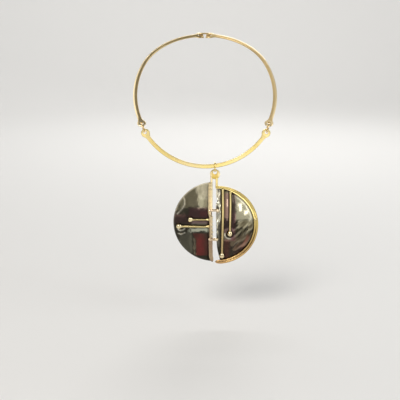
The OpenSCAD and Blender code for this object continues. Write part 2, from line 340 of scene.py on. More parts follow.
class Tree:
    """A few words for laying out shader nodes. A value is a number, a colour or another node's socket."""

    def __init__(self, tree):
        self.tree = tree

    def feed(self, socket, value):
        if isinstance(value, bpy.types.NodeSocket):
            self.tree.links.new(value, socket)
        elif isinstance(value, tuple) and len(socket.default_value) == 4:
            socket.default_value = (*value, 1)
        else:
            socket.default_value = value

    def add(self, kind, **values):
        node = self.tree.nodes.new(kind)
        for key, value in values.items():
            if key in node.bl_rna.properties:
                setattr(node, key, value)
            else:
                self.feed(node.inputs[key.replace("_", " ")], value)
        return node

    def calc(self, operation, *values):
        node = self.add("ShaderNodeMath", operation=operation)
        for socket, value in zip(node.inputs, values):
            self.feed(socket, value)
        return node.outputs[0]

    def scaled(self, value, factor, offset=0.0):
        return self.calc("MULTIPLY_ADD", value, factor, offset)

    def noise(self, vector, scale, detail, rough):
        node = self.add("ShaderNodeTexNoise", Vector=vector, Scale=scale, Detail=detail, Roughness=rough)
        return node.outputs["Fac"]

    def spread(self, value, lo, hi):
        """0 at lo and 1 at hi."""
        return self.add("ShaderNodeMapRange", Value=value, From_Min=lo, From_Max=hi).outputs["Result"]

    def mix(self, factor, a, b):
        node = self.add("ShaderNodeMix", data_type="RGBA")
        for index, value in ((0, factor), (6, a), (7, b)):
            self.feed(node.inputs[index], value)
        return node.outputs[2]

    def kept(self, name):
        """The numbers that paint() kept on a piece, or 0 where there are none."""
        return self.add("ShaderNodeAttribute", attribute_name=name).outputs["Fac"]

    def placed(self, group, vector, scale):
        """The two outputs of a shared effect."""
        return self.add("ShaderNodeGroup", node_tree=group, Vector=vector, Scale=scale).outputs

    def bump(self, **values):
        return self.add("ShaderNodeBump", **values).outputs["Normal"]


def new_group(name, scale, *outputs):
    """A shared effect that reads a place and a scale, and puts out numbers that change over the surface."""
    group = bpy.data.node_groups.new(name, "ShaderNodeTree")
    group.interface.new_socket(name="Vector", in_out="INPUT", socket_type="NodeSocketVector")
    size = group.interface.new_socket(name="Scale", in_out="INPUT", socket_type="NodeSocketFloat")
    size.default_value = scale
    for title in outputs:
        group.interface.new_socket(name=title, in_out="OUTPUT", socket_type="NodeSocketFloat")
    t = Tree(group)
    return group, t, t.add("NodeGroupInput").outputs, t.add("NodeGroupOutput").inputs


def make_scratches():
    """Fine lines left by polishing by hand, along two ways."""
    group, t, given, result = new_group("hand_polish_lines", 400.0, "Height", "Mask")
    heights = []
    for turn, stretch in (((0.2, 0.5, 0.3), (1, 14, 14)), ((0.9, -0.4, 1.1), (12, 1, 12))):
        turned = t.add("ShaderNodeMapping", Vector=given["Vector"], Rotation=turn, Scale=stretch).outputs[0]
        heights.append(t.noise(turned, given["Scale"], 3.0, 0.6))
    height = t.calc("MULTIPLY", t.calc("ADD", *heights), 0.5)
    t.feed(result["Height"], height)
    t.feed(result["Mask"], t.spread(height, 0.45, 0.62))
    return group


def make_patches():
    """Soft uneven patches at two scales, from 0 to 1."""
    group, t, given, result = new_group("uneven_patches", 60.0, "Broad", "Small")
    for title, finer, lo, hi in (("Broad", 1.0, 0.35, 0.65), ("Small", 6.0, 0.42, 0.66)):
        noise = t.noise(given["Vector"], t.calc("MULTIPLY", given["Scale"], finer), 4.0, 0.55)
        t.feed(result[title], t.spread(noise, lo, hi))
    return group


def make_drawn_lines():
    """Soft lines that run along a bar or wire, from its UV map: U goes along it and V round it."""
    group, t, given, result = new_group("drawn_lines", 3.0, "Height", "Mask")
    along, turns, _ = t.add("ShaderNodeSeparateXYZ", Vector=given["Vector"]).outputs
    angle = t.scaled(turns, 2 * math.pi)
    place = t.add("ShaderNodeCombineXYZ", X=along, Y=t.calc("COSINE", angle), Z=t.calc("SINE", angle))
    height = t.noise(place.outputs[0], given["Scale"], 3.0, 0.6)
    t.feed(result["Height"], height)
    t.feed(result["Mask"], t.spread(height, 0.4, 0.65))
    return group


SCRATCHES = make_scratches()
PATCHES = make_patches()
DRAWN_LINES = make_drawn_lines()

DEEP = (0.80, 0.58, 0.18)
ROSE = (0.93, 0.62, 0.34)
# Two heights below the whole part, for brass that keeps its colour all the way down
TOO_LOW = (-500, -501)


def new_material(name):
    mat = bpy.data.materials.new(name)
    mat.use_nodes = True
    return mat, Tree(mat.node_tree), mat.node_tree.nodes["Principled BSDF"].inputs


def brass(name, light, deep, rough, along, warm=ROSE, heights=TOO_LOW):
    """Brass that turns warm between two heights and is drawn along its length. It is paler where wear shows
    and where highlights are painted, and darker where stains sit and where shade is painted.
    """
    mat, t, surface = new_material(name)
    spots = t.add("ShaderNodeTexCoord").outputs
    broad, small = t.placed(PATCHES, spots["Object"], 38.0)
    drawn_height, drawn_mask = t.placed(DRAWN_LINES, spots["UV"], along)
    fine_height, _ = t.placed(SCRATCHES, spots["Object"], 1500.0)
    _, _, height = t.add("ShaderNodeSeparateXYZ", Vector=spots["Object"]).outputs
    low = t.spread(height, heights[0] * MM, heights[1] * MM)
    stained = t.kept("stained")
    tone = t.mix(t.scaled(broad, 0.45), light, deep)
    tone = t.mix(t.scaled(drawn_mask, 0.22), tone, deep)
    tone = t.mix(t.scaled(small, 0.10), tone, warm)
    tone = t.mix(t.calc("MULTIPLY", low, t.scaled(broad, 0.5, 0.5)), tone, warm)
    # Paler with wear, and with painted highlights
    tone = t.mix(t.scaled(t.kept("worn"), 0.8), tone, (0.96, 0.84, 0.56))
    # Darker with stains, and with painted shade
    tone = t.mix(t.scaled(stained, 0.85), tone, (0.10, 0.055, 0.022))
    t.feed(surface["Base Color"], tone)
    t.feed(surface["Metallic"], 1.0)
    t.feed(surface["Roughness"], t.scaled(stained, 0.18, t.scaled(small, 0.06, rough)))
    long_bump = t.bump(Height=drawn_height, Strength=0.06, Distance=0.00010)
    fine_bump = t.bump(Height=fine_height, Strength=0.05, Distance=0.00004, Normal=long_bump)
    t.feed(surface["Normal"], fine_bump)
    return mat


def dark_metal():
    """Dark polished metal: olive, with painted maroon and purple-brown reflections in places, near black
    where shade is painted, and pale where wear shows, where it has melted, and where highlights and
    reflections are painted.
    """
    mat, t, surface = new_material("dark_polished_metal")
    where = t.add("ShaderNodeTexCoord").outputs["Object"]
    broad, small = t.placed(PATCHES, where, 30.0)
    line_height, line_mask = t.placed(SCRATCHES, where, 2200.0)
    tone = t.mix(broad, (0.046, 0.043, 0.031), (0.038, 0.034, 0.026))
    # Painted reflections: maroon and purple-brown tints where the real metal mirrors its surroundings
    for layer, colour in (("plum", (0.064, 0.034, 0.036)), ("painted_red_reflection", (0.190, 0.040, 0.037))):
        tone = t.mix(t.calc("MULTIPLY", t.kept(layer), t.scaled(small, 0.25, 0.75)), tone, colour)
    # Near black with stains and with painted shade
    tone = t.mix(t.scaled(t.kept("stained"), 0.8), tone, (0.012, 0.009, 0.006))
    # Pale metal where wear shows and where it has melted, and painted highlights and reflections
    bare_and_highlight = t.calc("MULTIPLY", t.kept("worn"), t.scaled(small, 0.5, 0.6))
    tone = t.mix(bare_and_highlight, tone, (0.40, 0.375, 0.32))
    t.feed(surface["Base Color"], tone)
    t.feed(surface["Metallic"], 1.0)
    t.feed(surface["Roughness"], t.scaled(bare_and_highlight, 0.30, t.scaled(line_mask, 0.04, 0.05)))
    t.feed(surface["Normal"], t.bump(Height=line_height, Strength=0.04, Distance=0.00003))
    return mat


BAR_BRASS = brass("front_bar_brass", (0.87, 0.72, 0.30), DEEP, 0.22, 3.0)
EYE_BRASS = brass("pendant_eye_brass", (0.74, 0.54, 0.15), (0.58, 0.39, 0.07), 0.24, 3.0)
# A darker copy of the bar brass for the side bars and hook: painted shade, for faces that turn away from the
# light
SHADED_SIDE_BRASS = brass("side_bar_brass", (0.66, 0.50, 0.25), (0.52, 0.37, 0.16), 0.28, 3.0)
# A paler copy of the bar brass for the ring that carries the pendant: painted light
LIT_RING_BRASS = brass("ring_brass", (0.95, 0.76, 0.30), DEEP, 0.22, 2.0)
LINK_BRASS = brass("link_brass", (0.88, 0.67, 0.36), (0.70, 0.50, 0.24), 0.24, 2.0)
PENDANT_BRASS = brass("pendant_brass", (0.90, 0.73, 0.24), (0.64, 0.47, 0.18), 0.22, 6.0,
                      (0.61, 0.37, 0.17), (-155, -205))
STRIP_BRASS = brass("strip_brass", (0.92, 0.75, 0.44), (0.82, 0.62, 0.36), 0.24, 4.0,
                    (0.42, 0.30, 0.20), (-150, -176))
BRIDGE_BRASS = brass("bridge_brass", (0.90, 0.72, 0.56), (0.74, 0.54, 0.38), 0.20, 2.0,
                     (0.62, 0.44, 0.32), (-120, -185))
WIRE_BRASS = brass("wire_brass", (0.88, 0.75, 0.36), (0.66, 0.52, 0.23), 0.18, 5.0,
                   (0.48, 0.33, 0.17), (-152, -205))
DARK_METAL = dark_metal()


# Flat bars with an eye forged at each end


def eye_width(d):
    """Half width of a bar by the distance from its tip: the round eye, the neck, and then the bar."""
    x = d - EYE_R
    neck_w = math.sqrt(EYE_R ** 2 - NECK_FROM ** 2)
    run = NECK_TO - NECK_FROM
    t = np.clip((x - NECK_FROM) / run, 0, 1)
    neck = ((2 * t ** 3 - 3 * t ** 2 + 1) * neck_w + (t ** 3 - 2 * t ** 2 + t) * run * (-NECK_FROM / neck_w)
            + (3 * t ** 2 - 2 * t ** 3) * BAR_HALF_W)
    return np.where(x < NECK_FROM, ball_width(EYE_R, x), neck)


def flat_bar(name, length, at, seed, corner=0.42, thin=0.0):
    """A bar whose at(s) gives its middle, the way across and the way through. thin slims its outer side."""
    end_length = 12.0
    end_share = 0.27

    def along(u):
        """The place along the bar, with more points near its two ends."""
        t = np.minimum(u, 1 - u) / end_share
        s = np.where(t < 1, end_length * (1 - np.cos(np.clip(t, 0, 1) * np.pi / 2)), 0)
        middle = end_length + (u - end_share) / (1 - 2 * end_share) * (length - 2 * end_length)
        return np.where(t >= 1, middle, np.where(u < 0.5, s, length - s))

    def place(u, v):
        s = along(u)
        d = np.minimum(s, length - s)
        middle, across, through = at(s)
        half_w = eye_width(d) + 0.03 * ripple(s, v * 3, 23, seed) * ease(d, 8, 14)
        half_t = EYE_HALF_T + (BAR_HALF_T - EYE_HALF_T) * ease(d, 6.5, 12)
        half_t = half_t * rounded_end(d, 0.45)
        a = 2 * np.pi * v
        w = half_w * squarer(np.cos(a), corner)
        t = half_t * squarer(np.sin(a), corner)
        t = t * (1 - thin * ease(w, 0.2, 1.9) * ease(d, 8, 14))
        from_hole = np.clip(np.hypot(d - EYE_R, w) / EYE_R, 0, 1)
        t = t * (1 - 0.38 * from_hole ** 3 * (1 - ease(d, 5, 8)))
        t = t + 0.006 * ripple(s, w, 22, seed + 1) * rounded_end(d, 1.0)
        return (middle + across * w[:, None] + through * t[:, None]).T

    obj = grid(name, 240, 40, place)
    weld(obj)
    return obj


def front_bar():
    """The bar that hangs between the two link rings, in an upright plane."""
    half_a = FRONT_HALF_A - EYE_BACK / FRONT_R + EYE_R / FRONT_R
    centre = np.array([FRONT_SHIFT, FOLD_Y, FRONT_CENTRE_Z])

    def at(s):
        a = s / FRONT_R - half_a
        across = np.stack([np.sin(a), 0 * a, -np.cos(a)], 1)
        return centre + across * FRONT_R, across, TO_FRONT

    obj = flat_bar("front_bar_brass", 2 * half_a * FRONT_R, at, seed=1)
    for side in (LEFT, RIGHT):
        hole = (FRONT_SHIFT + side * FRONT_R * math.sin(FRONT_HALF_A), FOLD_Y,
                FRONT_CENTRE_Z - FRONT_R * math.cos(FRONT_HALF_A))
        bore(obj, hole, FRONT_TO_BACK, EYE_HOLE_R, EYE_HALF_T)
    smooth(obj)
    x, _, z = coords(obj).T / MM
    w = away(x, z, (FRONT_SHIFT, FRONT_CENTRE_Z)) - FRONT_R
    # Painted shade along the lower and upper edge, painted highlights across the front and round the eyes,
    # and two faint darker patches
    edges = 0.45 * ease(w, 1.45, 1.85) + 0.25 * ease(-w, 1.5, 1.85)
    paint(obj, worn=0.45 * bell(x + 14, 12) + 0.4 * bell(x - 30, 9) + 0.3 * bell(np.abs(x) - 54, 5),
          stained=most(edges * (np.abs(x) < 50), 0.10 * bell(x + 36, 9) + 0.08 * bell(x - 46, 5)))
    finished(obj, BAR_BRASS, "front", "brass", "front_bar")


def side_bar(side, name, node):
    """A bar round one side of the neck: a wide arc at the front, and a tighter one to the nape."""
    start = -SIDE_HOLE_A + EYE_BACK / SIDE_R - EYE_R / SIDE_R
    turn_s = (JOIN_A - start) * SIDE_R
    length = turn_s + (math.pi / 2 - NAPE_A - JOIN_A) * NAPE_R + EYE_R
    tilt = Matrix.Rotation(SIDE_TILT, 3, "X")
    plane = np.array(tilt)
    mirror = np.array([side, 1, 1])

    def at(s):
        front = s < turn_s
        a = np.where(front, start + s / SIDE_R, JOIN_A + (s - turn_s) / NAPE_R)
        r = np.where(front, SIDE_R, NAPE_R)
        x = np.where(front, SIDE_CENTRE[0], 0) + r * np.cos(a)
        y = np.where(front, SIDE_CENTRE[1], -NAPE_R) + r * np.sin(a)
        middle = (np.stack([x, y, 0 * x], 1) @ plane.T) * mirror
        across = (np.stack([np.cos(a), np.sin(a), 0 * a], 1) @ plane.T) * mirror
        return middle, across, plane[:, 2]

    obj = flat_bar(name, length, at, 2 + side, corner=0.6, thin=0.38)
    front_hole = (SIDE_CENTRE[0] + SIDE_R * math.cos(SIDE_HOLE_A),
                  SIDE_CENTRE[1] - SIDE_R * math.sin(SIDE_HOLE_A))
    nape_hole = (NAPE_HOLE_X, -NAPE_R + NAPE_R * math.cos(NAPE_A))
    for x, y in (front_hole, nape_hole):
        bore(obj, tilt @ Vector((side * x, y, 0)), tilt, EYE_HOLE_R, EYE_HALF_T)
    smooth(obj)
    x, y, _ = (coords(obj) / MM * mirror @ plane).T
    side_w = away(x, y, SIDE_CENTRE) - SIDE_R
    nape_w = away(x, y, (0, -NAPE_R)) - NAPE_R
    w = np.where(y < SIDE_CENTRE[1] + SIDE_R * math.sin(JOIN_A), side_w, nape_w)
    from_hole = away(x, y, front_hole)
    # Painted highlight along the outer edge and round the front eye, and painted shade on the inner side low
    # down
    outer = ease(w, 0.2, 0.9) * ease(from_hole, 5, 9)
    low = 1 - ease(y, -95, -60)
    paint(obj, worn=most((0.5 - 0.1 * side) * outer, 0.55 * bell(from_hole - 3.1, 0.9)),
          stained=(0.14 + 0.10 * side) * (1 - ease(w, -0.3, 0.3)) * low * ease(from_hole, 5, 9))
    finished(obj, SHADED_SIDE_BRASS, "collar", "brass", node)


# Rings and hook


def ring(name, mean_r, seam_a):
    """A wire ring round X, whose two cut ends meet at seam_a."""
    gap = 0.03

    def path(u):
        a = seam_a + gap + u * (2 * np.pi - 2 * gap)
        spread = 0.12 * (np.exp(-(u / 0.06) ** 2) - np.exp(-((1 - u) / 0.06) ** 2))
        return [spread, mean_r * np.cos(a), mean_r * np.sin(a)]

    def size(u):
        d = np.minimum(u, 1 - u) * 2 * np.pi * mean_r
        r = RING_WIRE_R * rounded_end(d, 0.12)
        return r, r

    return tube(name, 120, 20, path, size, front=np.array([1.0, 0, 0]))


def link(side, name, node):
    """The ring between a side bar and the front bar, which leans to reach both eyes."""
    front_x = side * FRONT_R * math.sin(FRONT_HALF_A) + FRONT_SHIFT
    side_x = SIDE_R * math.cos(SIDE_HOLE_A) - SIDE_OFF
    lean = math.asin((side * side_x - front_x) / LINK_RISE)
    obj = ring(name, LINK_R, 2.9)
    place = Vector((front_x + LINK_REACH * math.sin(lean), FOLD_Y, FOLD_Z)) * MM
    move(obj, Matrix.Translation(place) @ Matrix.Rotation(lean, 4, "Y"))
    finished(obj, LINK_BRASS, "collar", "brass", node)


def hang_ring():
    """The ring round the front bar that carries the pendant."""
    obj = ring("pendant_ring_brass", HANG_R, 0.4)
    move(obj, Matrix.Translation(Vector((HANG_X, FOLD_Y, HANG_Z)) * MM))
    finished(obj, LIT_RING_BRASS, "front", "brass", "pendant_ring")


def clasp_hook():
    """A long open loop of wire, whose mouth is in the middle of one side."""
    straight = NAPE_HOLE_X - LINK_PLAY - HOOK_END_R
    stub = straight - HOOK_MOUTH / 2
    bend = math.pi * HOOK_END_R
    marks = np.cumsum([0, stub, bend, 2 * straight, bend, stub])

    def path(u):
        s = u * marks[-1]
        a = (s - marks[1]) / HOOK_END_R
        b = (s - marks[3]) / HOOK_END_R
        past = [s > marks[4], s > marks[3], s > marks[2], s > marks[1]]
        first_x = np.interp(s, marks[[0, 1]], [HOOK_MOUTH / 2, straight])
        x = np.select(past, [-straight + (s - marks[4]), -straight - HOOK_END_R * np.sin(b),
                             straight - (s - marks[2]), straight + HOOK_END_R * np.sin(a)], first_x)
        y = np.select(past, [-HOOK_END_R, HOOK_END_R * np.cos(b), HOOK_END_R, -HOOK_END_R * np.cos(a)],
                      -HOOK_END_R)
        return [x, y, 0 * x]

    def size(u):
        r = HOOK_WIRE_R * rounded_end(np.minimum(u, 1 - u) * marks[-1], 0.5)
        return r, r

    obj = tube("nape_hook_brass", 150, 20, path, size, front=np.array([0, 0, 1.0]))
    drop = Vector((0, NAPE_R * (math.cos(NAPE_A) - 1), 0)) * MM
    upright = Matrix.Rotation(math.pi / 2, 4, "X")
    move(obj, Matrix.Rotation(SIDE_TILT, 4, "X") @ Matrix.Translation(drop) @ upright)
    finished(obj, SHADED_SIDE_BRASS, "collar", "brass", "clasp_hook")


# Pendant


def hung(x, n, z):
    """From the pendant's own measures to where it hangs."""
    return [HANG_X + x, FOLD_Y - n, PEND_Z + z]


def hang(obj, x, n, z):
    """Puts a piece's points in place by the pendant's own measures."""
    set_coords(obj, np.stack(hung(x, n, z), 1) * MM)


def unhung(obj):
    """The pendant's own measures of a piece's points."""
    co = coords(obj) / MM
    return co[:, 0] - HANG_X, FOLD_Y - co[:, 1], co[:, 2] - PEND_Z


def dome_base(r):
    """Where along n the middle of the dome's ball is, for a half disc of this radius."""
    return PLATE_EDGE_N - math.sqrt(DOME_R ** 2 - r ** 2)


def dome(x, z, centre, r):
    """How far to the front the smooth dome of a half disc is."""
    return dome_base(r) + np.sqrt(DOME_R ** 2 - (x - centre[0]) ** 2 - (z - centre[1]) ** 2)


def frame_brass(obj, material):
    """Finishes one of the pieces that together stand for the pendant's soldered brass."""
    finished(obj, material, "pendant", "brass", "pendant_frame")


# Hollows beaten into the half discs: place, half width, half height, turn in degrees, depth
LEFT_DENTS = [
    (-35.5, -31.0, 4.0, 8.0, 14, 0.10),
    (-32.2, -53.6, 2.6, 1.9, 0, 0.30),
    (-31.6, -58.0, 2.6, 1.1, -8, 0.22),
    (-18.0, -68.0, 13.0, 7.0, 20, 0.10),
    (-26.0, -46.0, 6.0, 5.0, 0, 0.06),
]
RIGHT_DENTS = [
    (14.2, -58.5, 4.6, 3.6, 0, 0.30),
    (24.0, -58.0, 1.5, 7.0, -34, 0.16),
    (28.6, -57.0, 1.3, 7.0, -30, 0.15),
    (26.0, -67.0, 1.5, 7.5, -42, 0.16),
    (20.5, -70.0, 1.4, 6.5, -38, 0.13),
    (13.5, -75.0, 2.2, 3.0, -20, 0.12),
]
# Lumps where the inner border of the right half disc has melted, in the same order
MELTED = [
    (2.9, -19.5, 1.3, 2.8, 0, 0.12),
    (1.9, -24.5, 0.9, 2.0, 0, 0.12),
    (2.2, -28.0, 1.0, 1.3, 0, 0.30),
    (3.3, -31.3, 1.2, 1.6, 0, 0.30),
    (3.7, -38.0, 0.8, 2.4, 0, 0.38),
    (3.9, -43.5, 0.7, 3.2, 0, 0.38),
    (2.0, -46.8, 1.1, 2.2, 0, 0.38),
    (1.9, -52.0, 0.8, 2.4, 0, 0.22),
    (2.1, -57.5, 0.9, 2.0, 0, 0.22),
]
LEFT_CREASES = [
    [(-29.7, -22.9), (-28.3, -26.3), (-28.3, -31.1), (-30.7, -35.3), (-35.1, -39.8)],
    [(-35.7, -53.2), (-34.2, -55.4), (-32.0, -56.2), (-30.0, -55.6), (-28.3, -54.2)],
    [(-34.4, -59.1), (-31.7, -60.0), (-28.3, -58.2)],
]

# Wires over the half discs: radius, root, middle of the bead
UPPER_LEFT_WIRE = (0.85, (-5.0, -44.7), (-22.9, -44.7))
LOWER_LEFT_WIRE = (1.0, (-4.6, -51.5), (-33.7, -51.5))
LONG_RIGHT_WIRE = (1.1, (7.3, -14.2), (7.3, -80.8))
SHORT_RIGHT_WIRE = (1.0, (14.4, -17.8), (14.4, -58.7))
BEAD_R = 2.5
BEAD_NECK = 1.2
BEAD_LIFT = 1.1


def hollow(x, z, dents):
    """How deep the ground is under a list of dents, or how high over it a list of lumps is."""
    total = 0 * x
    for dx, dz, w, h, turn, deep in dents:
        c, s = math.cos(math.radians(turn)), math.sin(math.radians(turn))
        u = ((x - dx) * c + (z - dz) * s) / w
        v = ((z - dz) * c - (x - dx) * s) / h
        total = total + deep * np.exp(-u * u - v * v)
    return total


def left_front(x, z):
    """The left half disc's front face: its dome with hollows, raised creases and slight waves."""
    creases = sum(bell(near_line(x, z, line), 0.55) for line in LEFT_CREASES)
    return (dome(x, z, *LEFT_DISC) - hollow(x, z, LEFT_DENTS) + 0.045 * creases
            - 0.02 * (1 + ripple(x, z, 30, 1)) - 0.014 * ripple(x, z, 12, 5) - 0.004 * ripple(2 * x, z, 6, 7))


def streaks(x, z):
    """Long slanting waves where the lower right of the right half disc has flowed."""
    along = 0.77 * x + 0.64 * z
    across = 0.77 * z - 0.64 * x
    return ripple(0.22 * along, across, 5.5, 3) * block(x, z, 17.5, 36, -77, -47, 1.5)


def right_front(x, z):
    """The right half disc's front face: its dome with hollows, melted lumps and flowed waves."""
    wavy = ease(x, 13, 18)
    return (dome(x, z, *RIGHT_DISC) - hollow(x, z, RIGHT_DENTS) + hollow(x, z, MELTED)
            - 0.02 * (1 + ripple(x, z, 30, 2) * wavy) - 0.008 * ripple(x, z, 12, 6) * wavy
            + 0.035 * streaks(x, z))


def beside_wires(x, z, wires):
    """Distance to the nearest wire or bead."""
    best = np.full(np.shape(x), 1e9)
    for r, root, bead in wires:
        best = np.minimum(best, near_line(x, z, [root, bead]) - r)
        best = np.minimum(best, away(x, z, bead) - BEAD_R)
    return np.clip(best, 0, None)


def left_marks(x, z):
    """Where the left half disc has painted reflections, stains, painted shade, wear and painted highlights.
    """
    from_edge = LEFT_R - away(x, z, LEFT_C)
    # Painted maroon reflection in the lower middle, with a faint one higher up
    patch_edge = -20.6 + 3.2 * ease(-z, 59, 66)
    painted_red_reflection = block(x - patch_edge, z, 0, 40, -81.0, -58.6, 0.5) * (0.62 + 0.42 * bell(x + 13.6, 2.8))
    painted_red_reflection = painted_red_reflection * (0.55 + 0.45 * ease(-z, 60, 67))
    painted_red_reflection = painted_red_reflection * (1 - 0.45 * ease(x, -11, -7.5))
    painted_red_reflection = painted_red_reflection + 0.18 * block(x, z, -14.0, 0, -41.5, -37.0, 1.4)
    # Painted purple-brown reflection across the middle
    plum = 0.9 * block(x, z, -24, 0, -49, -34, 1.6) + 0.6 * block(x, z, -40, -23, -49, -40, 2)
    # Painted shade beside the wires, along the strip and beside the first crease, with some patina where the
    # wires are soldered
    stained = most(0.9 * bell(beside_wires(x, z, [UPPER_LEFT_WIRE, LOWER_LEFT_WIRE]), 0.7),
                   0.8 * bell(np.clip(-6.6 - x, 0, None), 0.5),
                   0.4 * bell(near_line(x, z, [(-26.4, -26.5), (-26.0, -32.5)]), 1.7))
    # Wear along the outer edge, with a painted highlight that grows towards the top
    rim = bell(np.clip(from_edge, 0, None), 0.9) * (0.15 + 0.65 * ease(z, -62, -30))
    # Painted reflection: a pale slanting region at the top
    slant = ease(x + 19.5 + 0.5 * (z + 15), -1.0, 1.0)
    painted_pale_reflection = slant * block(x, z, -24, -6.2, -25.5, 0, 1.5) * (0.8 + 0.3 * ripple(x, 0.3 * z, 6, 4))
    # Wear on the creases, and a painted highlight by the leg at the top
    worn = most(0.6 * bell(near_line(x, z, LEFT_CREASES[0]), 0.75),
                0.85 * bell(near_line(x, z, LEFT_CREASES[1]), 0.5),
                0.8 * bell(near_line(x, z, LEFT_CREASES[2]), 0.5),
                0.16 * painted_pale_reflection, rim, 0.7 * block(x, z, -6.3, -2, -12.2, -8, 0.5))
    return dict(painted_red_reflection=painted_red_reflection, plum=plum, stained=stained, worn=worn)


def right_marks(x, z):
    """Where the right half disc has painted reflections, stains, painted shade, melted metal and painted
    highlights.
    """
    out = away(x, z, RIGHT_C)
    from_bead = away(x, z, (14.4, -59.0))
    low = 1 - ease(z, -66, -54)
    flow = streaks(x, z)
    # Painted maroon reflections low down
    painted_red_reflection = low * (0.34 * block(x, z, 8.5, 14.0, -84, -65, 2.5) + 0.12 * block(x, z, 18, 34, -84, -70, 3))
    painted_red_reflection = painted_red_reflection + 0.3 * bell(near_line(x, z, [(31.5, -61.5), (30.0, -66.0), (25.5, -72.5)]), 1.6)
    # Painted purple-brown reflections in two upright bands and low on the right
    plum = (0.35 + 0.6 * ease(-z, 34, 42)) * block(x, z, 15.2, 19.6, -66, -20, 0.7)
    plum = plum + 0.6 * block(x, z, 8.5, 13.3, -60, -20, 0.7)
    plum = plum + 0.3 * low * block(x, z, 16, 36, -80, -58, 3)
    # Painted shade beside the wires, round the short bead, inside the rim and in the troughs of the flowed
    # waves, with some patina round the bead
    stained = most(0.9 * bell(beside_wires(x, z, [LONG_RIGHT_WIRE, SHORT_RIGHT_WIRE]), 0.6),
                   0.8 * (1 - ease(from_bead, 3.0, 4.4)) * (z < -50),
                   0.9 * bell(np.clip(RIM_IN_R - 0.1 - out, 0, None), 0.5),
                   0.75 * np.clip(-1.6 * flow, 0, 1))
    # Painted highlight on the curved lower side of the bead's hollow
    crescent = bell(from_bead - 4.9, 0.5) * ease(-z, 57.5, 59.5) * ease(14.5 - x, -2, 2)
    # Melted pale metal along the border and its lumps, made paler as a painted reflection, with painted shade
    # in a hollow between the lumps
    pit = bell(near_line(x, z, [(2.3, -32.5), (2.3, -37.5)]), 0.9)
    border = block(x, z, 0, 5.0, -55.0, -15.4, 0.9) * (0.60 + 0.28 * ripple(x, z, 5, 9))
    border = border * (1 - 0.8 * pit) * (1 - 0.5 * ease(-z, 43, 49))
    border = border + 0.25 * block(x, z, 0, 4.6, -72, -55.0, 0.9)
    lumps = np.clip(1.5 * hollow(x, z, MELTED) / 0.45, 0, 0.9) * (1 - ease(x, 4.7, 5.6))
    # Painted highlights along the inside of the rim, on a spot near its right side and on the crests of the
    # flowed waves
    rim_side = bell(RIM_IN_R - 1.7 - out, 0.8) * ease(z, -50, -46) * ease(x, 18, 22)
    patch = bell(away(x, z, (33.4, -46.0)), 1.9)
    worn = most(border, lumps, 0.9 * crescent, 0.16 * most(rim_side, 1.5 * patch),
                0.13 * np.clip(1.4 * flow, 0, 1))
    return dict(painted_red_reflection=painted_red_reflection, plum=plum, stained=stained * (1 - 0.7 * worn), worn=worn)


def left_inner(z):
    """The left half disc's edge along the slit."""
    return -2.6 - 0.2 * np.sin(np.radians(9 * z)) - 1.5 * ease(z, -12.5, -9.8)


def right_inner(z):
    """The right half disc's edge along the slit, swollen where it has melted."""
    swell = 0.9 * bell(z + 26.8, 1.5) - 0.5 * bell(z + 31.5, 2.4) - 0.3 * bell(z + 20.5, 2.5)
    return 1.3 + 2.8 * np.clip((-55 - z) / 26, 0, None) ** 2 + 0.2 * np.sin(np.radians(11 * z)) + swell


def half_disc(name, disc, side, inner, front, marks, node):
    """A domed half disc, with inner(z) for its edge along the slit and front(x, z) for its front face."""
    centre, r = disc
    edge_a = math.radians(87.5)

    def place(u, v):
        a = edge_a * (2 * v - 1)
        z = centre[1] + r * np.sin(a)
        x0 = inner(z)
        x1 = centre[0] + side * r * np.cos(a)
        x = x0 + (x1 - x0) * u
        return hung(x, front(x, z), z)

    obj = grid(name, 130, 200, place)
    if side == LEFT:
        open_mesh(obj)
        bpy.ops.mesh.flip_normals()
        close_mesh()
    apply_modifier(obj, "SOLIDIFY", thickness=PLATE_T * MM, offset=-1)
    apply_modifier(obj, "BEVEL", width=0.28 * MM, segments=3, limit_method="ANGLE",
                   angle_limit=math.radians(50))
    smooth(obj, 60)
    x, n, z = unhung(obj)
    at_front = n > front(x, z) - 0.6 * PLATE_T
    paint(obj, **{layer: values * at_front for layer, values in marks(x, z).items()})
    finished(obj, DARK_METAL, "pendant", "dark_metal", node)


def pendant_eye():
    """The round eye that hangs on the ring, thinner towards its edge."""
    bpy.ops.object.select_all(action="DESELECT")
    bpy.ops.mesh.primitive_cylinder_add(vertices=96, radius=PEND_EYE_R * MM, depth=2 * PEND_EYE_HALF_T * MM,
                                        end_fill_type="NGON")
    obj = new_piece("pendant_eye_brass")
    open_mesh(obj)
    bpy.ops.mesh.select_mode(type="FACE")
    bpy.ops.mesh.select_all(action="DESELECT")
    close_mesh()
    for face in obj.data.polygons:
        face.select = abs(face.normal.z) > 0.9
    bpy.ops.object.mode_set(mode="EDIT")
    for _ in range(5):
        bpy.ops.mesh.inset(thickness=0.38 * MM)
    close_mesh()
    x, z, n = (coords(obj) / MM).T
    r = np.hypot(x, z)
    half = PEND_EYE_HALF_T * (0.62 + 0.38 * np.sqrt(np.clip(1 - (r / 4.65) ** 4, 0, 1)))
    n = np.sign(n) * (half - 0.10 * bell(away(x, z, (0, -1.0)), 2.2)) + 0.04 * ripple(x, z, 5, 4)
    z = z * (1 + 0.02 * (z < 0)) - PEND_EYE_DROP
    hang(obj, x, n, z)
    weld(obj)
    bore(obj, hung(0, 0, 0), FRONT_TO_BACK, PEND_HOLE_R, PEND_HOLE_HALF_T)
    smooth(obj)
    x, n, z = unhung(obj)
    # Painted highlights on the sides and top of the eye
    sides = ease(np.abs(x), 2.0, 3.2) * (1 - ease(-z, 3.4, 4.8))
    paint(obj, worn=0.75 * most(sides, 0.6 * ease(z, 0.2, 1.8)))
    frame_brass(obj, EYE_BRASS)


